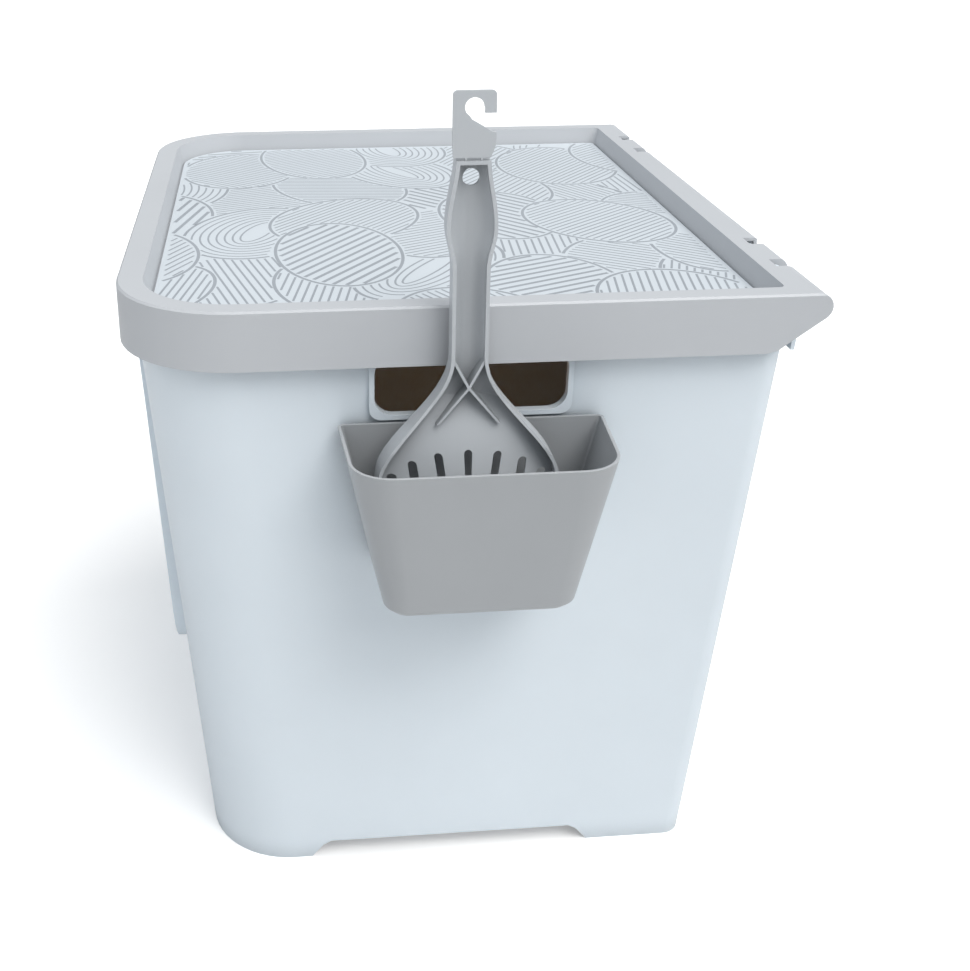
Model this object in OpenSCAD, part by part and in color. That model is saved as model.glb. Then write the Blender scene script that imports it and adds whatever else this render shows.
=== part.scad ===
// Litter box: a tapered tub with a tray-topped lid hinged along its rear edge, a door in a
// proud surround on its front wall, and a scoop in a bin that hooks on the end hand-hold.
// X runs along the length, the front (door) faces -Y and the bin hangs on the +X end.

/* [Tub] */
// Outside length of the tub at its top edge
tub_top_len = 463; // [420:1:520]
// Outside width of the tub at its top edge
tub_top_wid = 379; // [350:1:430]
// Height of the tub's top edge
tub_h = 401; // [380:1:440]
// Draft of all four walls, in degrees
draft = 4.1; // [3:0.1:5]
// Thickness of the tub's walls and floor
tub_wall = 2.6; // [2:0.1:3.5]
// Radius of the two front vertical corners at the top
front_r = 60; // [45:1:75]
// Radius of the two rear vertical corners
rear_r = 13; // [8:1:25]
// Height of the floor's underside above the ground
floor_lift = 14; // [11:0.5:20]
// Half width of the cut-out in the foot skirt at each end
notch_half = 86; // [60:1:100]
// Height of that cut-out
notch_h = 12.5; // [6:0.5:13]

/* [Hand-holds] */
// Width of the hand-hold in each end wall
hold_w = 111; // [90:1:120]
// Height of the hand-hold's lower edge
hold_z = 335; // [325:1:340]
// Height of the hand-hold
hold_h = 37; // [26:1:38]
// How far the hand-holds' middle lies behind the middle of the tub
hold_y = 3.5; // [-6:0.5:6]
// How far the collar round the hand-hold stands proud
hold_proud = 3; // [1.5:0.5:4]

/* [Lid] */
// Height of the lid from its skirt's lower edge to its top
lid_h = 35; // [30:1:45]
// Thickness of the lid's walls
lid_wall = 2.2; // [1.8:0.1:3.2]
// Gap between the tub's top edge and the lid's outer face, seen from above
lid_over = 8.4; // [7:0.1:12]
// Radius of the lid's two front corners
lid_front_r = 70; // [50:1:85]
// Depth of the tray in the lid's top
tray_depth = 14; // [8:0.5:20]
// How far the tray's walls slope in from top to bottom
tray_slope = 4; // [1:0.5:8]
// How far the two end cheeks reach behind the tub's rear wall
cheek_reach = 17; // [15:0.5:24]
// Thickness of the mat that lies in the tray
mat_t = 1.6; // [1:0.1:3]

/* [Hinge] */
// Distance of each hinge's middle in from the tub's end
hinge_in = 74.5; // [55:0.5:130]
// Radius of the hinge pins
pin_r = 2; // [1.5:0.1:2.5]
// Outside radius of the hinge knuckles and ears
knuckle_r = 5; // [4:0.1:5.4]
// Length of the lid's knuckle on each pin
knuckle_len = 33; // [20:1:60]
// Width of each ear on the tub
ear_t = 11; // [3:0.5:14]
// How far the cover over each knuckle bulges past the knuckle
strap_bulge = 4.4; // [2:0.1:4.8]

/* [Door] */
// Width of the proud surround on the front wall
surround_w = 284; // [240:1:300]
// Height of the surround's lower edge
surround_z = 125; // [100:1:150]
// Height of the surround's upper edge
surround_top = 362; // [345:1:364]
// Clear width of the doorway
door_w = 228; // [180:1:236]
// Height of the sill's upper face
sill_z = 146; // [140:1:170]
// Height of the doorway's top
door_top = 346; // [320:1:348]
// Draft of the surround's face, in degrees
surround_draft = 3.1; // [2.5:0.1:3.5]
// How far the surround stands off the wall at its upper edge
surround_off = 5.7; // [4:0.1:7]
// Thickness of the door flap
flap_t = 2.6; // [2:0.1:4]
// Gap between the flap and the doorway
flap_gap = 2; // [1:0.1:3]
// Radius of the doorway's two lower corners
door_r = 26; // [12:1:40]
// Radius of the flap's two stub pins
flap_pin_r = 2.5; // [2:0.1:3]

/* [Scoop bin] */
// Width of the bin's rim
bin_w = 154; // [130:1:170]
// Reach of the bin's rim from the tub's wall
bin_reach = 77; // [70:1:90]
// Height of the bin
bin_h = 95; // [80:1:105]
// Height of the bin's rim above the ground
bin_z = 331; // [320:1:332]
// Radius of the bin's front corners at the rim
bin_r = 24; // [16:1:28]
// Radius of the bin's front corners at the bottom
bin_r_low = 14; // [10:1:20]
// How much narrower each side of the bin is at the bottom than at the rim
bin_side_in = 20; // [5:1:24]
// How much shallower the bin is at the bottom than at the rim
bin_front_in = 16; // [5:1:24]
// Thickness of the bin's walls
bin_wall = 2; // [1.6:0.1:3]
// Width of the hook on the bin's back
hook_w = 30; // [20:1:40]

/* [Scoop] */
// Width of the scoop's head
head_w = 104; // [90:1:110]
// Length of the scoop's head
head_len = 104; // [90:1:115]
// Depth of the scoop's head
head_deep = 17; // [14:1:28]
// How far the head's floor bulges from its edge to its middle
head_dome = 14; // [4:0.5:15]
// Width of each slot in the head
slot_w = 4.8; // [4:0.1:6]
// Length of the handle above the head
grip_len = 146; // [120:1:160]
// Depth of the handle
grip_deep = 12; // [8:0.5:14]
// Width of the handle at its grip
grip_w = 27; // [22:1:32]
// Width of the handle at its neck
neck_w = 20; // [14:1:22]
// Thickness of the scoop's walls
scoop_wall = 2; // [1.6:0.1:2.6]
// Radius of the hang hole in the handle
hang_r = 4.6; // [3:0.1:5.5]
// Height of the break-off hang tab
tab_h = 34.5; // [30:0.5:45]

/* [Hidden] */

// Segments in a quarter turn of a plan corner
corner_steps = 14;
// Segments of a full turn elsewhere
$fn = 48;
// A cut runs this far past the face it opens
past = 1;
// Clearance between moulded pieces that seat on each other
seat_gap = 0.3;
// Clearance that lets a moulded piece turn or slide
slip_gap = 0.6;
// Radial clearance of a pin that turns in its bore
pin_gap = 0.08;

function slope(z) = (tub_h - z) * tan(draft);
function arc(cx, cy, r, from, to, n = corner_steps) =
    [for (i = [0 : n]) let (a = from + (to - from) * i / n) [cx + r * cos(a), cy + r * sin(a)]];

// A plan outline with its own radii at the front (-Y) and the rear (+Y); its sides lean in by a towards the front
function plan(x0, x1, y0, y1, rf, rr, a = 0) =
    let (inf = (y1 - y0 - rf) * tan(a) + rf / cos(a), inr = rr * tan(a) + rr / cos(a)) concat(
    arc(x0 + inf, y0 + rf, rf, 180 + a, 270), arc(x1 - inf, y0 + rf, rf, 270, 360 - a),
    arc(x1 - inr, y1 - rr, rr, -a, 90), arc(x0 + inr, y1 - rr, rr, 90, 180 + a));

// The tub's outside at height z, moved in by inset
function tub_plan(z, inset = 0) =
    let (hx = tub_top_len / 2 - slope(z) - inset, hy = tub_top_wid / 2 - slope(z) - inset)
    plan(-hx, hx, -hy, hy, front_r - inset - slope(z) / 6, max(rear_r - inset, 2));

// A solid between two outlines with the same number of points
module loft(low, z0, high, z1) {
    n = len(low);
    polyhedron(
        points = concat([for (p = low) [p.x, p.y, z0]], [for (p = high) [p.x, p.y, z1]]),
        faces = concat([[for (i = [0 : n - 1]) i]], [[for (i = [n - 1 : -1 : 0]) n + i]],
            [for (i = [0 : n - 1]) let (j = (i + 1) % n) each [[i, n + i, n + j], [i, n + j, j]]]));
}
module tub_solid(z0, z1, inset = 0) loft(tub_plan(z0, inset), z0, tub_plan(z1, inset), z1);

// Turns a drawing in Y and Z into a solid that runs from x0 to x1
module along_x(x0, x1) translate([x0, 0, 0]) rotate([90, 0, 90]) linear_extrude(x1 - x0) children();
// Turns a drawing in X and Z into a solid that runs from y0 to y1
module along_y(y0, y1) translate([0, y1, 0]) rotate([90, 0, 0]) linear_extrude(y1 - y0) children();
module rounded(w, h, r_low, r_high = undef)
    polygon(concat(arc(-w / 2 + r_low, r_low, r_low, 180, 270), arc(w / 2 - r_low, r_low, r_low, 270, 360),
        let (r = is_undef(r_high) ? r_low : r_high)
        concat(arc(w / 2 - r, h - r, r, 0, 90), arc(-w / 2 + r, h - r, r, 90, 180))));

/* ---- Places worked out from the sizes above ---- */
rear_y = tub_top_wid / 2;
front_y = -rear_y;
lid_top = tub_h + seat_gap + lid_wall;
skirt_z = lid_top - lid_h;
lid_x = tub_top_len / 2 + lid_over;
lid_front = front_y - lid_over;
cheek_y = rear_y + cheek_reach;
// Rear lip: how far it stays short of the cheeks' tips, and how far down it turns
lip_short = 4.3;
lip_y = cheek_y - lip_short;
lip_drop = 11;

hinge_x = tub_top_len / 2 - hinge_in;
hinge_y = rear_y + 1.5 + knuckle_r;
hinge_z = tub_h - knuckle_r - 0.5;
ear_in = knuckle_len / 2 + slip_gap;
slot_gap = 1.5;

// The tray's wall swings clear of the tub's rear wall when the lid opens
tray_clear = 0.7;
tray_front_clear = 2.4;
tray_rear_clear = 1.5;
tray_z = lid_top - tray_depth;

// Front surface of the surround and of the tub's wall, as Y at height z
function wall_y(z) = front_y + slope(z);
function face_y(z) = wall_y(surround_top) - surround_off + (surround_top - z) * tan(surround_draft);
tunnel_t = 4;
tunnel_back = wall_y(sill_z) + tub_wall + 4;
flap_y = wall_y(sill_z) - 6;
flap_axis_z = door_top - 6;
door_r_top = 7;

end_x = tub_top_len / 2;
function end_wall_x(z) = end_x - slope(z);
bin_back = end_wall_x(bin_z) + hold_proud + seat_gap;
bin_front = end_wall_x(bin_z) + bin_reach;
// Angle by which the bin's sides lean in towards its front
bin_splay = 3.5;
bin_floor_z = bin_z - bin_h;
hook_t = 2.4;
hook_rise = 9;

scoop_x = lid_x + 8;
scoop_y = hold_y - 6;
scoop_z = bin_floor_z + bin_wall;
head_top = scoop_z + head_len;
grip_top = head_top + grip_len;
tab_z = grip_top + 1.4;
tab_t = 1.8;

// The box round everything, whose bottom centre is the part's origin
box_mid_x = (bin_front - lid_x) / 2;
box_mid_y = (cheek_y + lid_front) / 2;
module placed() translate([-box_mid_x, -box_mid_y, 0]) children();

/* ---- Tub ---- */
hold_r = 11;
collar_r = 7;
module hold_hole(grow = 0, r = hold_r)
    translate([hold_y, hold_z - grow]) rounded(hold_w + 2 * grow, hold_h + 2 * grow, r);

module tub_shell() {
    difference() {
        tub_solid(0, tub_h);
        tub_solid(floor_lift + tub_wall, tub_h + past, tub_wall);
        tub_solid(-past, floor_lift, tub_wall);
        along_x(-end_x, end_x) polygon([[-notch_half - 8, -past], [notch_half + 8, -past],
            [notch_half + 7, 1], [notch_half, notch_h - 3], [notch_half - 5, notch_h],
            [5 - notch_half, notch_h], [-notch_half, notch_h - 3], [-notch_half - 7, 1]]);
    }
}

// A band that stands out from the tub's wall, kept clear of its inside
module wall_band(z0, z1, out) difference() {
    tub_solid(z0, z1, -out);
    tub_solid(z0 - past, z1 + past, tub_wall / 2);
}

module hinge_ear() {
    along_x(-ear_t / 2, ear_t / 2) difference() {
        union() {
            translate([hinge_y, hinge_z]) circle(knuckle_r);
            polygon([[rear_y - slope(hinge_z) - 1, hinge_z + 3], [hinge_y, hinge_z + knuckle_r * 0.6],
                [hinge_y + knuckle_r * 0.7, hinge_z - knuckle_r * 0.7],
                [hinge_y - 1, hinge_z - 22], [rear_y - slope(hinge_z - 30) - 1, hinge_z - 30]]);
        }
        translate([hinge_y, hinge_z]) circle(pin_r + pin_gap);
    }
}

module tub() color([0.93, 0.93, 0.91]) {
    rim_z = tub_h - 25;
    flange_out = 6;
    // The hinged side's flange is wider, and its edge turns down past the lid's skirt
    ledge_z = skirt_z - 6.5;
    ledge_out = 9;
    collar = 3;
    difference() {
        union() {
            tub_shell();
            wall_band(rim_z, rim_z + 2.5, flange_out);
            for (end = [-1.5, 0.5]) intersection() {
                along_x(end * end_x, (end + 1) * end_x) hold_hole(collar, collar_r);
                wall_band(hold_z - 2 * collar, rim_z, hold_proud);
            }
            intersection() {
                difference() {
                    wall_band(ledge_z, rim_z + 1, ledge_out);
                    wall_band(ledge_z - past, rim_z - 1.5, ledge_out - 2.4);
                }
                translate([rear_r - end_x, rear_y - slope(ledge_z) - tub_wall / 2, 0])
                    cube([2 * (end_x - rear_r), 2 * ledge_out, tub_h]);
            }
        }
        along_x(-end_x * 2, end_x * 2) hold_hole();
        along_y(front_y - 20, -rear_y / 2) translate([0, sill_z - tunnel_t - seat_gap])
            rounded(door_w + 2 * (tunnel_t + seat_gap), door_top - sill_z + 2 * (tunnel_t + seat_gap),
                door_r + tunnel_t, door_r_top + tunnel_t);
    }
    for (side = [-1, 1], ear = [-1, 1])
        translate([side * hinge_x + ear * (ear_in + ear_t / 2), 0, 0]) hinge_ear();
}

module hinge_pin(side) color([0.78, 0.78, 0.77])
    translate([side * hinge_x - ear_in - ear_t, hinge_y, hinge_z]) rotate([0, 90, 0])
        cylinder(h = 2 * (ear_in + ear_t), r = pin_r);

/* ---- Door ---- */
// A ring in X and Z with its own outside, drawn round the doorway
module doorway(grow = 0)
    translate([0, sill_z - grow])
        rounded(door_w + 2 * grow, door_top - sill_z + 2 * grow, door_r + grow, door_r_top + grow);

module door_surround() color([0.93, 0.93, 0.91]) {
    difference() {
        union() {
            intersection() {
                along_y(front_y - 30, -rear_y / 2) translate([0, surround_z])
                    rounded(surround_w, surround_top - surround_z, 34, 12);
                along_x(-surround_w, surround_w) polygon([[face_y(surround_z), surround_z],
                    [wall_y(surround_z) - seat_gap, surround_z], [wall_y(surround_top) - seat_gap, surround_top],
                    [face_y(surround_top), surround_top]]);
            }
            intersection() {
                along_y(front_y - 30, tunnel_back) doorway(tunnel_t);
                along_x(-surround_w, surround_w) polygon([[face_y(surround_z), surround_z],
                    [tunnel_back, surround_z], [tunnel_back, surround_top], [face_y(surround_top), surround_top]]);
            }
        }
        along_y(front_y - 40, tunnel_back + past) doorway();
        translate([0, flap_y, flap_axis_z]) rotate([0, 90, 0])
            cylinder(h = door_w + 2 * tunnel_t + 20, r = flap_pin_r + pin_gap, center = true);
    }
}

module door_flap() color([0.72, 0.72, 0.72]) {
    rib = 2.4;
    rib_in = 14;
    translate([0, flap_y, 0]) {
        along_y(-flap_t / 2, flap_t / 2) translate([0, sill_z + flap_gap])
            rounded(door_w - 2 * flap_gap, flap_axis_z + flap_pin_r - sill_z - flap_gap, door_r - flap_gap,
                flap_pin_r);
        along_y(flap_t / 2, flap_t / 2 + rib) difference() {
            translate([0, sill_z + flap_gap + rib_in]) rounded(door_w - 2 * flap_gap - 2 * rib_in,
                flap_axis_z - sill_z - flap_gap - 2 * rib_in, rib_in);
            translate([0, sill_z + flap_gap + rib_in + rib]) rounded(door_w - 2 * (flap_gap + rib_in + rib),
                flap_axis_z - sill_z - flap_gap - 2 * (rib_in + rib), rib_in - rib);
        }
        translate([0, 0, flap_axis_z]) rotate([0, 90, 0])
            cylinder(h = door_w + 2 * tunnel_t - 1, r = flap_pin_r, center = true);
    }
}

/* ---- Lid ---- */
function lid_plan(inset = 0) = plan(-lid_x + inset, lid_x - inset, lid_front + inset, cheek_y + 5,
    lid_front_r - inset, 2);
// Outline of the tray's inside at height z
function tray_plan(z, inset = 0) =
    let (s = tray_slope * (lid_top - z) / tray_depth + inset,
        hx = tub_top_len / 2 - tub_wall - tray_clear - lid_wall - s,
        hf = front_y + tub_wall + tray_front_clear + lid_wall + s,
        hr = rear_y - tub_wall - tray_rear_clear - lid_wall - s)
    plan(-hx, hx, hf, hr, front_r - tub_wall - tray_clear - lid_wall - s, max(4 - inset, 2));

// The end cheek's outline: level skirt, sloped underside and rounded tip
module cheek_profile() {
    tip_r = 8;
    polygon(concat([[lid_front - 5, skirt_z], [rear_y - 19, skirt_z], [rear_y - 13, skirt_z + 1.5],
        [rear_y - 8, skirt_z + 5], [cheek_y - 2.6, lid_top - 14]],
        arc(cheek_y - tip_r, lid_top - tip_r, tip_r, -30, 90, 8), [[lid_front - 5, lid_top]]));
}

module lid_shell() difference() {
    chamfer = 1.2;
    intersection() {
        union() {
            translate([0, 0, skirt_z]) linear_extrude(lid_h - chamfer) polygon(lid_plan());
            loft(lid_plan(), lid_top - chamfer, lid_plan(chamfer), lid_top);
        }
        along_x(-lid_x - past, lid_x + past) cheek_profile();
    }
    difference() {
        translate([0, 0, skirt_z - past]) linear_extrude(lid_h + past - lid_wall) polygon(lid_plan(lid_wall));
        translate([-lid_x, lip_y - lid_wall, lid_top - lip_drop]) cube([2 * lid_x, lid_wall, lip_drop]);
    }
    translate([-lid_x + lid_wall, lip_y, skirt_z]) cube([2 * (lid_x - lid_wall), 30, lid_h + past]);
}

// Floor and walls of the tray, hung from the lid's top
module tray() difference() {
    loft(tray_plan(tray_z - lid_wall, -lid_wall), tray_z - lid_wall, tray_plan(lid_top - lid_wall / 2, -lid_wall),
        lid_top - lid_wall / 2);
    loft(tray_plan(tray_z), tray_z, tray_plan(lid_top + past), lid_top + past);
}

module lid() color([0.72, 0.72, 0.72]) difference() {
    rib_count = 3;
    rib_pitch = tub_top_len / 9.26;
    rib_inset = front_r;
    rib_t = 2;
    rib_deep = 4;
    union() {
        difference() {
            lid_shell();
            loft(tray_plan(tray_z), tray_z, tray_plan(lid_top + past), lid_top + past);
        }
        tray();
        for (side = [-1, 1]) translate([side * hinge_x, 0, 0]) along_x(-knuckle_len / 2, knuckle_len / 2) {
            translate([hinge_y, hinge_z]) circle(knuckle_r);
            translate([hinge_y - knuckle_r * 0.6, hinge_z]) square([knuckle_r * 1.6, lid_top - hinge_z - 1]);
            intersection() {
                translate([hinge_y, hinge_z]) polygon(concat([[0, 0]], arc(0, 0, knuckle_r + strap_bulge, -14, 90)));
                translate([hinge_y, 0]) square([4 * knuckle_r, lid_top]);
            }
        }
        // Stiffening ribs under the tray's floor
        for (i = [-rib_count : rib_count])
            translate([i * rib_pitch - rib_t / 2, front_y + rib_inset, tray_z - lid_wall - rib_deep])
                cube([rib_t, 2 * (rear_y - rib_inset), rib_deep + 0.5]);
    }
    for (side = [-1, 1]) {
        translate([side * hinge_x, hinge_y, hinge_z]) rotate([0, 90, 0])
            cylinder(h = knuckle_len + 2 * past, r = pin_r + pin_gap, center = true);
        for (ear = [-1, 1])
            translate([side * hinge_x + ear * (ear_in + ear_t / 2 + slot_gap / 2) - (ear_t + slot_gap) / 2 - slip_gap,
                hinge_y - 3.5, skirt_z]) cube([ear_t + slot_gap + slip_gap * 2, 20, lid_h + past]);
    }
}

module lid_mat() color([0.86, 0.88, 0.9])
    translate([0, 0, tray_z]) linear_extrude(mat_t) polygon(tray_plan(tray_z, 1));

/* ---- Scoop bin ---- */
// The bin's outside at height z: its back follows the tub's wall, its other sides taper
function bin_plan(z, inset = 0) =
    let (d = (bin_z - z) / bin_h, hw = bin_w / 2 - d * bin_side_in - inset,
        x0 = bin_back - slope(z) + slope(bin_z) + inset, x1 = bin_front - d * bin_front_in - inset)
    [for (p = plan(-hw, hw, -x1, -x0, bin_r - d * (bin_r - bin_r_low) - inset, max(3.5 - inset, 1.5), bin_splay)) [-p.y, hold_y + p.x]];
module bin_solid(z0, z1, inset = 0) loft(bin_plan(z0, inset), z0, bin_plan(z1, inset), z1);
// Turns a drawing in X and Z into a solid w wide, centred on Y = y
module along_hook(y, w) translate([0, y + w / 2, 0]) rotate([90, 0, 0]) linear_extrude(w) children();

module scoop_bin() color([0.66, 0.66, 0.66]) {
    foot_r = 4;
    difference() {
        union() {
            bin_solid(bin_floor_z + foot_r, bin_z);
            loft(bin_plan(bin_floor_z, foot_r), bin_floor_z, bin_plan(bin_floor_z + foot_r), bin_floor_z + foot_r);
        }
        union() {
            bin_solid(bin_floor_z + bin_wall + foot_r, bin_z + past, bin_wall);
            loft(bin_plan(bin_floor_z + bin_wall, bin_wall + foot_r), bin_floor_z + bin_wall,
                bin_plan(bin_floor_z + bin_wall + foot_r, bin_wall), bin_floor_z + bin_wall + foot_r);
        }
    }
    // Hook over the hand-hold's lower edge
    hook_in = end_wall_x(hold_z) - tub_wall - seat_gap - hook_t;
    hook_out = bin_back + seat_gap;
    hook_low = hook_in - slope(hold_z - hook_rise) + slope(hold_z);
    along_hook(hold_y, hook_w) polygon([[hook_out, bin_z - 6], [hook_out + bin_wall, bin_z - 6],
        [hook_out + bin_wall, hold_z + hook_t + seat_gap], [hook_in, hold_z + hook_t + seat_gap],
        [hook_low, hold_z - hook_rise], [hook_low + hook_t, hold_z - hook_rise],
        [hook_in + hook_t, hold_z + seat_gap], [hook_out, hold_z + seat_gap]]);
}

/* ---- Scoop ---- */
// Half width of the scoop at height z: round head, narrow neck, wider grip, flat top
function head_half(z) = head_w / 2 * sqrt(max(1 - pow(abs(z - scoop_z - 0.52 * head_len) / (0.62 * head_len), 2.4), 0));
function mix(a, b, t) = a + (b - a) * (1 - cos(180 * min(max(t, 0), 1))) / 2;
shoulder = 32;
flare = 38;
grip_wide = 36;
grip_low = 58;
function scoop_half(z) =
    z < head_top - shoulder ? head_half(z) :
    z < head_top + flare ? mix(head_half(head_top - shoulder), neck_w / 2,
        pow((z - head_top + shoulder) / (shoulder + flare), 0.9)) :
    z < grip_top - grip_wide ? mix(neck_w / 2, grip_w / 2, (z - grip_top + grip_low) / (grip_low - grip_wide)) :
    mix(grip_w / 2, 0.325 * grip_w, (z - grip_top + grip_wide) / (grip_wide + 4));
scoop_steps = 60;
function scoop_outline(inset = 0) = let (
    low = scoop_z + inset,
    zs = [for (i = [0 : scoop_steps]) low + (grip_top - inset - low) * i / scoop_steps])
    concat([for (z = zs) [max(scoop_half(z) - inset, 1), z]],
        [for (i = [scoop_steps : -1 : 0]) [-max(scoop_half(zs[i]) - inset, 1), zs[i]]]);

// Turns a drawing in Y and Z into a solid that stands off the scoop's back
module from_back(x0, x1) translate([0, scoop_y, 0]) along_x(scoop_x + x0, scoop_x + x1) children();
// A bar from a to b, t wide across
module bar(a, b, t) polygon([[a.x - t / 2, a.y], [a.x + t / 2, a.y], [b.x + t / 2, b.y], [b.x - t / 2, b.y]]);

module head_slots() {
    for (i = [-3 : 3]) {
        y = 0.48 * head_w * sin(20 * i);
        z_high = scoop_z + 0.845 * head_len - 1.6 * i * i;
        z_low = scoop_z + 0.2 * head_len + 1.9 * i * i;
        hull() {
            translate([y, z_high - slot_w / 2]) circle(slot_w / 2, $fn = 24);
            translate([y, z_low + slot_w / 2]) circle(slot_w / 2, $fn = 24);
        }
    }
}

// Side view that the scoop keeps inside: a deep head that thins to the handle
module side_view() polygon([[scoop_x, scoop_z], [scoop_x + head_deep, scoop_z],
    [scoop_x + head_deep, head_top - 14], [scoop_x + grip_deep, head_top + 10],
    [scoop_x + grip_deep, grip_top], [scoop_x, grip_top]]);

// The head's domed floor, a slice of a ball
module head_floor(out) {
    reach = 0.62 * head_len;
    ball_r = (reach * reach + head_dome * head_dome) / (2 * head_dome);
    intersection() {
        from_back(0, head_deep) polygon(scoop_outline(scoop_wall / 2));
        translate([scoop_x + scoop_wall + head_dome - ball_r, scoop_y, scoop_z + 0.52 * head_len])
            rotate([0, 90, 0]) rotate_extrude($fn = 96) difference() {
                circle(ball_r - scoop_wall + out, $fn = 192);
                translate([-ball_r * 2, -ball_r * 2]) square([ball_r * 2, ball_r * 4]);
                translate([-past, -ball_r * 2]) square([ball_r * 2, ball_r * 2]);
            }
    }
}

// The handle's channel is round in section: its floor climbs to the walls, from nothing at the flare
channel_deep = grip_deep - scoop_wall - 1.5;
channel_low = head_top + 6;
function channel_rise(y, half, z) = channel_deep * pow(abs(y) / half, 2.5)
    * (1 - cos(180 * min(max((z - channel_low) / flare, 0), 1))) / 2;
module channel_floor() {
    rows = 36;
    across = 8;
    n = 2 * across + 3;
    into = scoop_wall / 2;
    points = [for (k = [0 : rows])
        let (z = channel_low + (grip_top - into - channel_low) * k / rows, half = scoop_half(z) - into)
        each concat([[scoop_x + into, scoop_y + half, z], [scoop_x + into, scoop_y - half, z]],
            [for (i = [-across : across]) let (y = half * i / across)
                [scoop_x + scoop_wall - 0.05 + channel_rise(y, half, z), scoop_y + y, z]])];
    end = concat([[0, 1, across + 2]], [for (i = [2 : n - 2]) [i < across + 2 ? 1 : 0, i, i + 1]]);
    polyhedron(points = points, faces = concat(end,
        [for (f = end) [rows * n + f[0], rows * n + f[2], rows * n + f[1]]],
        [for (k = [0 : rows - 1], i = [0 : n - 1]) let (j = (i + 1) % n, a = k * n, b = a + n)
            each [[a + i, b + i, b + j], [a + i, b + j, a + j]]]));
}

module scoop() color([0.7, 0.7, 0.7]) {
    rib_z = head_top + 20;
    rib_t = 1.6;
    difference() {
        union() {
            // Walls all round, with the handle's floor
            difference() {
                intersection() {
                    from_back(0, head_deep) polygon(scoop_outline());
                    along_hook(scoop_y, head_w + 2) side_view();
                }
                difference() {
                    from_back(-past, head_deep + past) polygon(scoop_outline(scoop_wall));
                    from_back(-2 * past, scoop_wall) translate([-head_w, head_top - 8]) square([2 * head_w, grip_len + 8]);
                }
            }
            channel_floor();
            difference() {
                head_floor(scoop_wall);
                head_floor(0);
            }
            // Crossed ribs that tie the neck's walls to the head
            intersection() {
                from_back(0, grip_deep - 0.8) intersection() {
                    polygon(scoop_outline());
                    for (way = [-1, 1]) {
                        bar([way * neck_w / 2, rib_z + 19], [0, rib_z], rib_t);
                        bar([0, rib_z], [-way * 17, rib_z - 21], rib_t);
                    }
                }
            }
        }
        from_back(-head_deep, head_deep + past) head_slots();
        translate([scoop_x - past, scoop_y, grip_top - 10.5]) rotate([0, 90, 0])
            cylinder(h = grip_deep + 2 * past, r = hang_r);
    }
}

// The hang tab's own sizes, as offsets from the middle of the grip
tab_half = 0.415 * grip_w;
tab_foot = 7.4;
tab_hole_drop = 8.6;
tab_hole_r = 5;
module hang_tab() color([0.7, 0.72, 0.74]) {
    top_r = 2.5;
    hole_z = tab_h - tab_hole_drop;
    hook_in = tab_hole_r + 0.3;
    from_back(grip_deep - 1 - tab_t, grip_deep - 1) translate([0, tab_z]) difference() {
        union() {
            polygon(concat([[0.5 - tab_half, 0], [tab_half - 2.5, 0], [tab_half - 1, 3.5], [tab_half + 0.2, tab_foot]],
                arc(tab_half - top_r, tab_h - top_r, top_r, 0, 90, 6),
                arc(-tab_half + top_r, tab_h - top_r, top_r, 90, 180, 6), [[-tab_half, tab_foot]]));
            for (y = [-4, 4]) translate([y - 0.6, grip_top - tab_z]) square([1.2, tab_z - grip_top + 1]);
        }
        translate([0, hole_z]) circle(tab_hole_r);
        // The way in to the hole runs up behind the hook
        polygon([[-0.84 * tab_hole_r, hole_z], [hook_in, hole_z], [hook_in, hole_z - 3],
            [tab_half + 2, hole_z - 3], [tab_half + 2, hole_z - 12.7], [tab_half - 1.5, hole_z - 12.7],
            [-1, hole_z - 6.4], [-0.84 * tab_hole_r, hole_z - 2.2]]);
    }
}

placed() tub();
placed() hinge_pin(1);  // hinge_pin_near
placed() hinge_pin(-1);  // hinge_pin_far
placed() door_surround();
placed() door_flap();
placed() lid();
placed() lid_mat();
placed() scoop_bin();
placed() scoop();
placed() hang_tab();
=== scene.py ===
import bpy
import bmesh
import math
import random
from mathutils import Matrix, Vector


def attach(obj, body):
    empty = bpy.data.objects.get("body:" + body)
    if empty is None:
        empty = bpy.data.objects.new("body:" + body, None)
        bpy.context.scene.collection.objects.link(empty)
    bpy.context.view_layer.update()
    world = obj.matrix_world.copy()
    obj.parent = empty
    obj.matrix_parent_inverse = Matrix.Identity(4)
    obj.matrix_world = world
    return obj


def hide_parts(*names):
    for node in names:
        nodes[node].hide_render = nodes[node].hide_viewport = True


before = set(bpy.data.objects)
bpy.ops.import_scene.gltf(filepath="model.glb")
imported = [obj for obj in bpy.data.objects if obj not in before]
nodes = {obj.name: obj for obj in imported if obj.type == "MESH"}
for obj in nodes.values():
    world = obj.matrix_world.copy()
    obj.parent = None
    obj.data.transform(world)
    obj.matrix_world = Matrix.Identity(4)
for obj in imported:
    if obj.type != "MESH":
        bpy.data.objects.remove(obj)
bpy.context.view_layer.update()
scene = bpy.context.scene

# ---------------------------------------------------------------- sizes of the source, in mm
TUB_TOP_LEN, TUB_TOP_WID, TUB_H, DRAFT = 463.0, 379.0, 401.0, math.radians(4.1)
TUB_WALL, FRONT_R = 2.6, 60.0
LID_OVER, LID_WALL, SEAT_GAP, CHEEK_REACH = 8.4, 2.2, 0.3, 17
TRAY_DEPTH, TRAY_SLOPE = 14.0, 4.0
TRAY_CLEAR, TRAY_FRONT_CLEAR, TRAY_REAR_CLEAR = 0.7, 2.4, 1.5
BIN_Z, BIN_H, BIN_WALL, BIN_REACH = 331.0, 95, 2, 77
HOLD_Y, SCOOP_ASIDE = 3.5, 6
HEAD_W, HEAD_LEN = 104.0, 104.0

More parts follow.
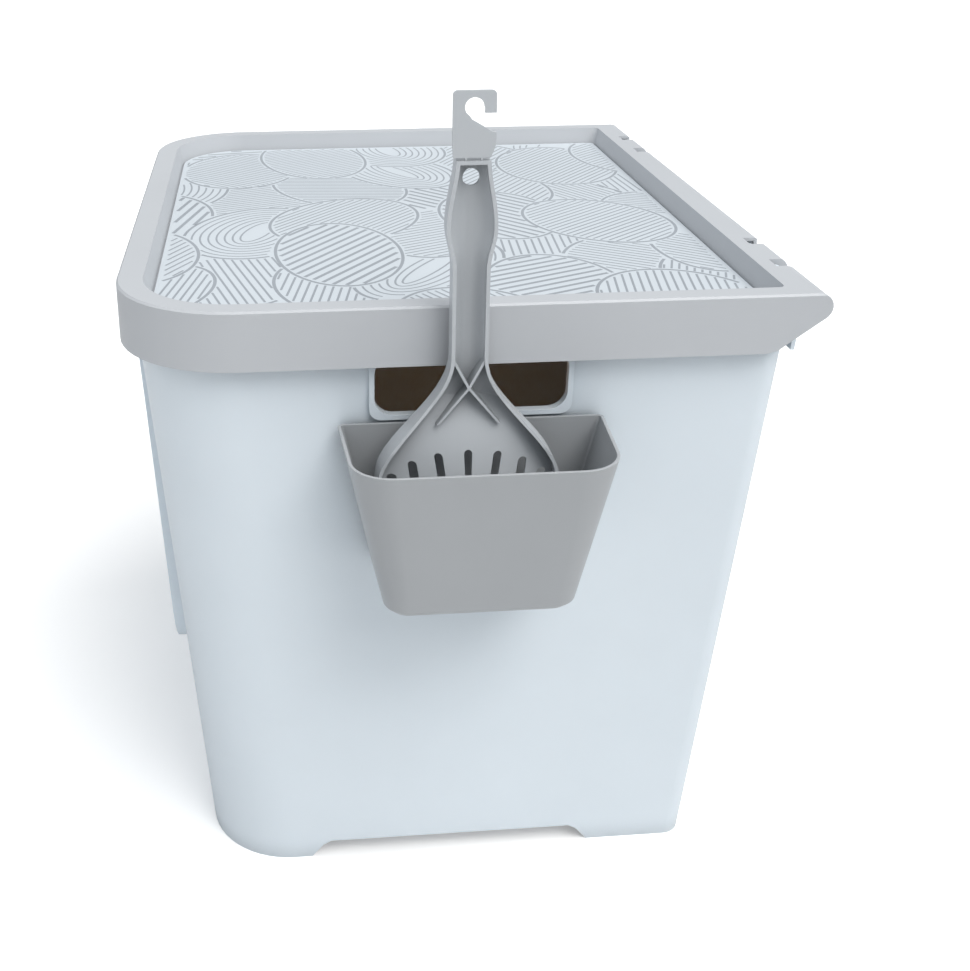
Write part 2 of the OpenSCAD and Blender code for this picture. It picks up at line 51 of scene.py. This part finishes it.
LID_X = TUB_TOP_LEN / 2 + LID_OVER
LID_FRONT = -TUB_TOP_WID / 2 - LID_OVER
CHEEK_Y = TUB_TOP_WID / 2 + CHEEK_REACH
BIN_FRONT = TUB_TOP_LEN / 2 - (TUB_H - BIN_Z) * math.tan(DRAFT) + BIN_REACH

# The source moves its model back by this much, so a place (x, y) there lies at (x - MX, y - MY) in the frame
MX, MY = (BIN_FRONT - LID_X) / 2, (CHEEK_Y + LID_FRONT) / 2


# ---------------------------------------------------------------- materials
def new_mat(name):
    """A new material, its node tree and its surface shader."""
    m = bpy.data.materials.new(name)
    m.use_nodes = True
    return m, m.node_tree, m.node_tree.nodes["Principled BSDF"]


def noise(nt, coords, scale, detail):
    """Noise over the object's own coordinates."""
    n = nt.nodes.new("ShaderNodeTexNoise")
    n.inputs["Scale"].default_value = scale
    n.inputs["Detail"].default_value = detail
    nt.links.new(coords.outputs["Object"], n.inputs["Vector"])
    return n.outputs["Fac"]


def bump(nt, height, strength, distance):
    """A bump node driven by height, distance in metres."""
    n = nt.nodes.new("ShaderNodeBump")
    n.inputs["Strength"].default_value = strength
    n.inputs["Distance"].default_value = distance
    nt.links.new(height, n.inputs["Height"])
    return n


def painted_nook_shade(nt, colour, nook, deep, clear):
    """Painted shade: the colour, darker by up to deep where surfaces within nook metres hem the spot in, as ambient
    occlusion shades it.
    """
    ao = nt.nodes.new("ShaderNodeAmbientOcclusion")
    ao.samples = 6
    ao.inputs["Distance"].default_value = nook
    hollow = nt.nodes.new("ShaderNodeMapRange")
    # how open the spot is: the painted shade is full at the first value, and gone from the second on
    hollow.inputs["From Min"].default_value = 0.10
    hollow.inputs["From Max"].default_value = clear
    hollow.inputs["To Min"].default_value = 1 - deep
    nt.links.new(ao.outputs["AO"], hollow.inputs["Value"])
    shade_scale = nt.nodes.new("ShaderNodeVectorMath")
    shade_scale.operation = "SCALE"
    nt.links.new(colour, shade_scale.inputs[0])
    nt.links.new(hollow.outputs["Result"], shade_scale.inputs["Scale"])
    return shade_scale.outputs[0]


def plastic(name, colour, rough, mottle=0.02, sss=0.0, nook=0.0, deep=0.5, clear=0.85):
    """Moulded plastic: slight mottle, uneven gloss, fine grain and slow waves, with painted shade in nooks if nook is
    given.
    """
    m, nt, b = new_mat(name)
    b.inputs["Base Color"].default_value = (*colour, 1)
    b.inputs["Roughness"].default_value = rough
    b.inputs["IOR"].default_value = 1.49
    b.inputs["Specular IOR Level"].default_value = 0.42
    if sss:
        b.inputs["Subsurface Weight"].default_value = sss
        b.inputs["Subsurface Radius"].default_value = (0.004, 0.0045, 0.005)
        b.inputs["Subsurface Scale"].default_value = 1.0
    coords = nt.nodes.new("ShaderNodeTexCoord")

    ramp = nt.nodes.new("ShaderNodeValToRGB")
    low, high = ramp.color_ramp.elements
    low.position, high.position = 0.3, 0.7
    low.color = (*[c * (1 - mottle) for c in colour], 1)
    high.color = (*[min(c * (1 + mottle), 1) for c in colour], 1)
    nt.links.new(noise(nt, coords, 9.0, 3.0), ramp.inputs["Fac"])
    shade = ramp.outputs["Color"]
    if nook:
        # painted shade: the base colour darkens where nearby surfaces hem the spot in
        shade = painted_nook_shade(nt, shade, nook, deep, clear)
    nt.links.new(shade, b.inputs["Base Color"])

    gloss = nt.nodes.new("ShaderNodeMapRange")
    gloss.inputs["To Min"].default_value = rough - 0.05
    gloss.inputs["To Max"].default_value = rough + 0.06
    nt.links.new(noise(nt, coords, 60.0, 4.0), gloss.inputs["Value"])
    nt.links.new(gloss.outputs["Result"], b.inputs["Roughness"])

    grain = bump(nt, noise(nt, coords, 2600.0, 2.0), 0.35, 0.00004)
    waves = bump(nt, noise(nt, coords, 16.0, 1.0), 0.25, 0.0006)
    nt.links.new(grain.outputs["Normal"], waves.inputs["Normal"])
    nt.links.new(waves.outputs["Normal"], b.inputs["Normal"])
    return m


def srgb(r, g, b):
    """A colour of 0 to 255 per channel, as linear values."""
    return tuple((c / 255 / 12.92) if c / 255 <= 0.04045 else ((c / 255 + 0.055) / 1.055) ** 2.4 for c in (r, g, b))


# tub, lid, bin and scoop get painted shade in their nooks; the bin's is deepest, which darkens what shows through the
# scoop's slots
MAT = {
    "tub": plastic("tub_white", srgb(227, 236, 243), 0.36, sss=0.05, nook=0.02, deep=0.35),
    "surround": plastic("surround_white", srgb(227, 236, 243), 0.36, sss=0.05),
    "lid": plastic("lid_grey", srgb(192, 195, 199), 0.40, nook=0.012, deep=0.25),
    "bin": plastic("bin_grey", srgb(172, 175, 178), 0.36, nook=0.04, deep=0.80, clear=0.38),
    "scoop": plastic("scoop_grey", srgb(188, 192, 196), 0.32, nook=0.016, deep=0.5),
    "flap": plastic("flap_grey", srgb(180, 184, 188), 0.34),
    "pin": plastic("pin_grey", srgb(190, 192, 194), 0.3),
    "mat": plastic("mat_sheet", srgb(206, 213, 219), 0.42, mottle=0.012),
    "print": plastic("mat_print", srgb(156, 162, 169), 0.45, mottle=0.06),
}


# ---------------------------------------------------------------- finer copies of the moulded solids
# Flat faces closer than this in direction are joined again, and edges sharper than that are rounded
FLAT_ANGLE, EDGE_ANGLE = math.radians(0.8), math.radians(28)
# Vertices closer than this are one, and a face that leaves its plane by more than that is bent, in metres
WELD, BENT = 2e-6, 5e-5
# A face with more corners than this, and less area than that times its perimeter, in metres, is a strip
STRIP_CORNERS, THIN = 12, 0.0012


def thin(face):
    """Whether a face is a strip along many edges, as a rim's is."""
    return len(face.verts) > STRIP_CORNERS and face.calc_area() < THIN * face.calc_perimeter()


def bent(face):
    """Whether a face's corners don't lie in one plane."""
    return max(abs((v.co - face.verts[0].co).dot(face.normal)) for v in face.verts) > BENT


def refine(node, body, mat, bevel, shape=None, inner=True):
    """Replaces a CAD node by a copy that shades smoothly, its edges rounded by bevel mm as a mould's are.

    shape moves each vertex first. Without inner, only outer edges are rounded and inner ones stay crisp.
    """
    me = nodes[node].data.copy()
    me.materials.clear()
    ob = bpy.data.objects.new(node + "_moulded", me)
    scene.collection.objects.link(ob)
    bm = bmesh.new()
    bm.from_mesh(me)
    bmesh.ops.remove_doubles(bm, verts=bm.verts, dist=WELD)
    bmesh.ops.dissolve_limit(bm, angle_limit=FLAT_ANGLE, verts=bm.verts, edges=bm.edges)
    bmesh.ops.recalc_face_normals(bm, faces=bm.faces)
    if shape:
        for v in bm.verts:
            v.co = shape(v.co)
    # a face that the shape has bent, or a long thin one, is cut up, so that it fills cleanly
    bmesh.ops.triangulate(bm, faces=[f for f in bm.faces if len(f.verts) > 3 and (thin(f) or bent(f))])
    weight = bm.edges.layers.float.new("bevel_weight_edge")
    for e in bm.edges:
        if len(e.link_faces) == 2 and e.calc_face_angle() > EDGE_ANGLE:
            if inner or e.is_convex:
                e[weight] = 1.0
            else:
                e.smooth = False
    bm.to_mesh(me)
    bm.free()
    me.materials.append(mat)
    for p in me.polygons:
        p.use_smooth = True
    edge = ob.modifiers.new("edge", "BEVEL")
    edge.width = bevel / 1000
    edge.segments = 3
    edge.limit_method = "WEIGHT"
    edge.use_clamp_overlap = True
    edge.miter_outer = "MITER_ARC"
    flat = ob.modifiers.new("flat", "WEIGHTED_NORMAL")
    flat.keep_sharp = True
    flat.weight = 90
    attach(ob, body)
    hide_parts(node)


# The scoop's place in the frame, as the source gives it
SCOOP_Y, SCOOP_Z = HOLD_Y - SCOOP_ASIDE - MY, BIN_Z - BIN_H + BIN_WALL
# Width of the head's edge, which stays as it is, and how much the slots lean at most
HEAD_EDGE, LEAN = 2.6, 0.165


def fan(co):
    """Leans the head's outer slots so that they run together towards its lower end."""
    y, z = co.y * 1000 - SCOOP_Y, co.z * 1000
    top = SCOOP_Z + 0.845 * HEAD_LEN
    rise = abs(z - SCOOP_Z - 0.52 * HEAD_LEN) / (0.62 * HEAD_LEN)
    half = HEAD_W / 2 * max(1 - rise ** 2.4, 0) ** 0.5
    if z > top or half < 10 or abs(y) > half - HEAD_EDGE:
        return co
    out = abs(y) / (half - HEAD_EDGE)
    lean = LEAN * math.sin(math.pi * out) ** 0.8 if 0 < out < 1 else 0.0
    y -= math.copysign(lean * (top - z) * min(1.0, (z - SCOOP_Z) / 12 + 0.2), y)
    return Vector((co.x, (y + SCOOP_Y) / 1000, co.z))


refine("tub", "box", MAT["tub"], 0.8)
refine("door_surround", "box", MAT["surround"], 1.2)
refine("door_flap", "flap", MAT["flap"], 0.5)
refine("lid", "lid_body", MAT["lid"], 0.9, inner=False)
refine("scoop_bin", "bin", MAT["bin"], 0.75, inner=False)
refine("scoop", "scoop_body", MAT["scoop"], 0.5, shape=fan)
refine("hang_tab", "scoop_body", MAT["scoop"], 0.35)
for n, m in (("hinge_pin_near", "pin"), ("hinge_pin_far", "pin"), ("lid_mat", "mat")):
    nodes[n].data.materials.clear()
    nodes[n].data.materials.append(MAT[m])

# ---------------------------------------------------------------- the mat's printed pattern, in mm of the source
MAT_T, MAT_CLEAR = 1.6, 1.0
TRAY_Z = TUB_H + SEAT_GAP + LID_WALL - TRAY_DEPTH
MAT_X = TUB_TOP_LEN / 2 - TUB_WALL - TRAY_CLEAR - LID_WALL - TRAY_SLOPE - MAT_CLEAR
MAT_Y0 = -TUB_TOP_WID / 2 + TUB_WALL + TRAY_FRONT_CLEAR + LID_WALL + TRAY_SLOPE + MAT_CLEAR
MAT_Y1 = TUB_TOP_WID / 2 - TUB_WALL - TRAY_REAR_CLEAR - LID_WALL - TRAY_SLOPE - MAT_CLEAR
MAT_R = FRONT_R - TUB_WALL - TRAY_CLEAR - LID_WALL - TRAY_SLOPE - MAT_CLEAR

# How high the print lies on the mat, and how far it ends from the mat's edge and from a stone above it
PRINT_UP, PRINT_MARGIN, STONE_GAP = 0.05, 3.0, 1.7
# Widths of an outline, of a ring and of a stripe, the last by whether the stripes stand close
OUTLINE_W, RING_W, CLOSE_W, WIDE_W, CLOSE_PITCH = 2.1, 1.3, 1.4, 2.6, 6
# Points round an outline, step along a stripe, and how far a stripe keeps inside the outline
RING_POINTS, STEP, INSIDE = 72, 1.5, 2.2
# Stones in each row and column, their spacing, and the fills they draw from, each with its pitch
GRID, GRID_X, GRID_Y = 7, 88, 62
FILLS = (("stripes", 4.7), ("stripes", 5.3), ("stripes", 4.9), ("stripes", 7.6), ("rings", 5.6), ("stripes", 5.1))


def in_mat(x, y):
    """Whether a place lies on the mat and off its margin."""
    if abs(x) > MAT_X - PRINT_MARGIN or y < MAT_Y0 + PRINT_MARGIN or y > MAT_Y1 - PRINT_MARGIN:
        return False
    cx, cy = MAT_X - MAT_R, MAT_Y0 + MAT_R
    if abs(x) > cx and y < cy:
        return math.hypot(abs(x) - cx, y - cy) < MAT_R - PRINT_MARGIN
    return True


class Pebble:
    """A rounded oval stone of the print: an outline, and straight stripes or rings within it."""

    def __init__(self, x, y, turn, long, wide, fill, pitch, lean):
        self.c = (x, y)
        self.a = (math.cos(math.radians(turn)), math.sin(math.radians(turn)))
        self.p, self.q = long / 2, wide / 2
        self.fill, self.pitch, self.lean = fill, pitch, math.radians(lean)

    def at(self, s, t):
        """The place at s along the stone and t across it."""
        return (self.c[0] + self.a[0] * s - self.a[1] * t, self.c[1] + self.a[1] * s + self.a[0] * t)

    def holds(self, x, y):
        """Whether a place lies on the stone or in the gap round it."""
        dx, dy = x - self.c[0], y - self.c[1]
        s, t = dx * self.a[0] + dy * self.a[1], dy * self.a[0] - dx * self.a[1]
        return (s / (self.p + STONE_GAP)) ** 2 + (t / (self.q + STONE_GAP)) ** 2 < 1

    def ring(self, inset):
        """An ellipse inside the outline, its last point on its first."""
        turns = [2 * math.pi * i / RING_POINTS for i in range(RING_POINTS + 1)]
        return [self.at((self.p - inset) * math.cos(w), (self.q - inset) * math.sin(w)) for w in turns]

    def stripe(self, k):
        """The stripe at distance k from the middle, cut where it meets the outline."""
        ca, sa = math.cos(self.lean), math.sin(self.lean)
        pts, u = [], -self.p
        while u <= self.p:
            s, t = u * ca - k * sa, u * sa + k * ca
            if (s / (self.p - INSIDE)) ** 2 + (t / (self.q - INSIDE)) ** 2 < 1:
                pts.append(self.at(s, t))
            u += STEP
        return pts

    def lines(self):
        """Each stroke as its points and its width."""
        yield self.ring(0), OUTLINE_W
        if self.fill == "rings":
            inset = self.pitch
            while inset < self.q - 3:
                yield self.ring(inset), RING_W
                inset += self.pitch
            return
        reach = math.hypot(self.p * math.sin(self.lean), self.q * math.cos(self.lean))
        k = -reach + self.pitch / 2
        while k < reach:
            yield self.stripe(k), CLOSE_W if self.pitch < CLOSE_PITCH else WIDE_W
            k += self.pitch


def pebbles():
    """Stones laid in loose rows that lap one over another, the first one on top."""
    rnd = random.Random(11)
    middle = GRID // 2
    spots = [((col - middle) * GRID_X + (row % 2) * GRID_X // 2, (row - middle) * GRID_Y)
             for row in range(GRID) for col in range(GRID)]
    rnd.shuffle(spots)
    out = []
    for x, y in spots:
        fill, pitch = rnd.choice(FILLS)
        out.append(Pebble(x + rnd.uniform(-14, 14), y + rnd.uniform(-10, 10), rnd.uniform(-35, 35),
                          rnd.uniform(118, 142), rnd.uniform(80, 98), fill, pitch, rnd.uniform(-80, 80)))
    return out


def stroke(bm, pts, width):
    """Adds a flat ribbon along the points to bm, unless it is too short to see."""
    n = len(pts)
    if n < 5:
        return
    left, right = [], []
    for i, (x, y) in enumerate(pts):
        x0, y0 = pts[max(i - 1, 0)]
        x1, y1 = pts[min(i + 1, n - 1)]
        d = math.hypot(x1 - x0, y1 - y0) or 1.0
        nx, ny = -(y1 - y0) / d * width / 2, (x1 - x0) / d * width / 2
        left.append((x + nx, y + ny))
        right.append((x - nx, y - ny))
    z = (TRAY_Z + MAT_T + PRINT_UP) / 1000
    top = [bm.verts.new(((px - MX) / 1000, (py - MY) / 1000, z)) for px, py in left + right[::-1]]
    for i in range(n - 1):
        bm.faces.new((top[i], top[2 * n - 1 - i], top[2 * n - 2 - i], top[i + 1]))


def print_on_mat():
    """Draws the stones on the mat, each cut where one above it begins."""
    bm = bmesh.new()
    stones = pebbles()
    for k, stone in enumerate(stones):
        above = stones[:k]
        for pts, width in stone.lines():
            run = []
            for x, y in pts:
                if in_mat(x, y) and not any(o.holds(x, y) for o in above):
                    run.append((x, y))
                else:
                    stroke(bm, run, width)
                    run = []
            stroke(bm, run, width)
    bmesh.ops.recalc_face_normals(bm, faces=bm.faces)
    me = bpy.data.meshes.new("mat_print")
    bm.to_mesh(me)
    bm.free()
    ob = bpy.data.objects.new("mat_print", me)
    scene.collection.objects.link(ob)
    me.materials.append(MAT["print"])
    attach(ob, "lid_body")


print_on_mat()

# ---------------------------------------------------------------- stage
# The floor is paler to the camera than to the light that it throws back on the part, and glows a little to the camera
FLOOR_HALF, FLOOR_LIT, FLOOR_SEEN, FLOOR_GLOW = 9.0, 0.60, 0.93, 0.24
floor_me = bpy.data.meshes.new("floor")
s = FLOOR_HALF
floor_me.from_pydata([(-s, -s, 0), (s, -s, 0), (s, s, 0), (-s, s, 0)], [], [(0, 1, 2, 3)])
floor = bpy.data.objects.new("floor", floor_me)
scene.collection.objects.link(floor)
fm, nt, b = new_mat("floor_white")
b.inputs["Roughness"].default_value = 0.9
b.inputs["Specular IOR Level"].default_value = 0.1
b.inputs["Emission Color"].default_value = (1, 1, 1, 1)
seen = nt.nodes.new("ShaderNodeLightPath")
# inputs 0, 6 and 7 of a Mix node set to RGBA are its factor and its two colours, and output 2 is the result
shade = nt.nodes.new("ShaderNodeMix")
shade.data_type = "RGBA"
shade.inputs[6].default_value = (FLOOR_LIT, FLOOR_LIT, FLOOR_LIT, 1)
shade.inputs[7].default_value = (FLOOR_SEEN, FLOOR_SEEN, FLOOR_SEEN, 1)
nt.links.new(seen.outputs["Is Camera Ray"], shade.inputs[0])
nt.links.new(shade.outputs[2], b.inputs["Base Color"])
lift = nt.nodes.new("ShaderNodeMath")
lift.operation = "MULTIPLY"
lift.inputs[1].default_value = FLOOR_GLOW
nt.links.new(seen.outputs["Is Camera Ray"], lift.inputs[0])
nt.links.new(lift.outputs[0], b.inputs["Emission Strength"])
floor_me.materials.append(fm)

# The world lights the part with a faint blue, and the camera sees it white
world = bpy.data.worlds.new("studio")
scene.world = world
world.use_nodes = True
nt = world.node_tree
bg = nt.nodes["Background"]
bg.inputs["Color"].default_value = (0.90, 0.95, 1.0, 1)
bg.inputs["Strength"].default_value = 0.46
white = nt.nodes.new("ShaderNodeBackground")
white.inputs["Color"].default_value = (1, 1, 1, 1)
white.inputs["Strength"].default_value = 1.0
mix = nt.nodes.new("ShaderNodeMixShader")
seen = nt.nodes.new("ShaderNodeLightPath")
nt.links.new(seen.outputs["Is Camera Ray"], mix.inputs["Fac"])
nt.links.new(bg.outputs["Background"], mix.inputs[1])
nt.links.new(white.outputs["Background"], mix.inputs[2])
nt.links.new(mix.outputs["Shader"], nt.nodes["World Output"].inputs["Surface"])


def lamp(name, kind, energy, colour):
    """A new lamp's data and its object, in the scene."""
    d = bpy.data.lights.new(name, kind)
    d.energy = energy
    d.color = colour
    o = bpy.data.objects.new(name, d)
    scene.collection.objects.link(o)
    return d, o


def sun(name, way, strength, spread, colour):
    """A sun that shines from the direction of way, spread degrees wide."""
    d, o = lamp(name, "SUN", strength, colour)
    d.angle = math.radians(spread)
    o.location = [3 * c for c in way]
    o.rotation_mode = "QUATERNION"
    o.rotation_quaternion = (-o.location).to_track_quat("-Z", "Y")


sun("top_right", (0.26, 0.46, 1.0), 2.05, 50, (1.0, 0.985, 0.96))
sun("front_right", (0.85, 0.34, 0.95), 0.85, 28, (1.0, 0.99, 0.97))
sun("fill_left", (0.15, -0.80, 0.55), 0.40, 60, (0.97, 0.985, 1.0))

# A faint warm glow inside the closed box, as light that comes through thin walls gives
d, o = lamp("inside_glow", "POINT", 0.038, (1.0, 0.48, 0.15))
d.shadow_soft_size = 0.06
o.location = (-MX / 1000, -MY / 1000, 0.24)

# ---------------------------------------------------------------- camera, solved from the photograph
PHOTO_W, PHOTO_H, SENSOR = 970, 971, 36.0
# Focal length in pixels, the camera's place in mm (along the end wall, out from it, up), its angles in degrees,
# and the pixel that the view's axis meets
F, CU, CV, CW, YAW, PITCH, ROLL, PX, PY = 1322.06, 92.36, -676.78, 639.70, 5.11, -21.0, -0.15, 388.0, 350.0
# CU counts from the lid's front edge, which lies this far in front of the tub's middle
SOLVED_FRONT = 198
y, p, r = map(math.radians, (YAW, PITCH, ROLL))
fwd = Vector((math.sin(y) * math.cos(p), math.cos(y) * math.cos(p), math.sin(p)))
right = Vector((math.cos(y), -math.sin(y), 0.0))
up = right.cross(fwd)
right, up = right * math.cos(r) + up * math.sin(r), up * math.cos(r) - right * math.sin(r)


def turned(v):
    """A direction of the photograph, x right and y away, in the frame."""
    return Vector((-v[1], v[0], v[2]))


cam_d = bpy.data.cameras.new("photo")
cam = bpy.data.objects.new("photo", cam_d)
scene.collection.objects.link(cam)
R, U, B = turned(right), turned(up), -turned(fwd)
cam.matrix_world = Matrix((
    (R.x, U.x, B.x, (LID_X - CV - MX) / 1000),
    (R.y, U.y, B.y, (CU - SOLVED_FRONT - MY) / 1000),
    (R.z, U.z, B.z, CW / 1000),
    (0, 0, 0, 1)))
cam_d.sensor_width = SENSOR
cam_d.lens = F / PHOTO_H * SENSOR
cam_d.shift_x = (PHOTO_W / 2 - PX) / PHOTO_W
cam_d.shift_y = (PY - PHOTO_H / 2) / PHOTO_H
cam_d.clip_start, cam_d.clip_end = 0.05, 50
scene.camera = cam

vs = scene.view_settings
vs.view_transform = "Standard"
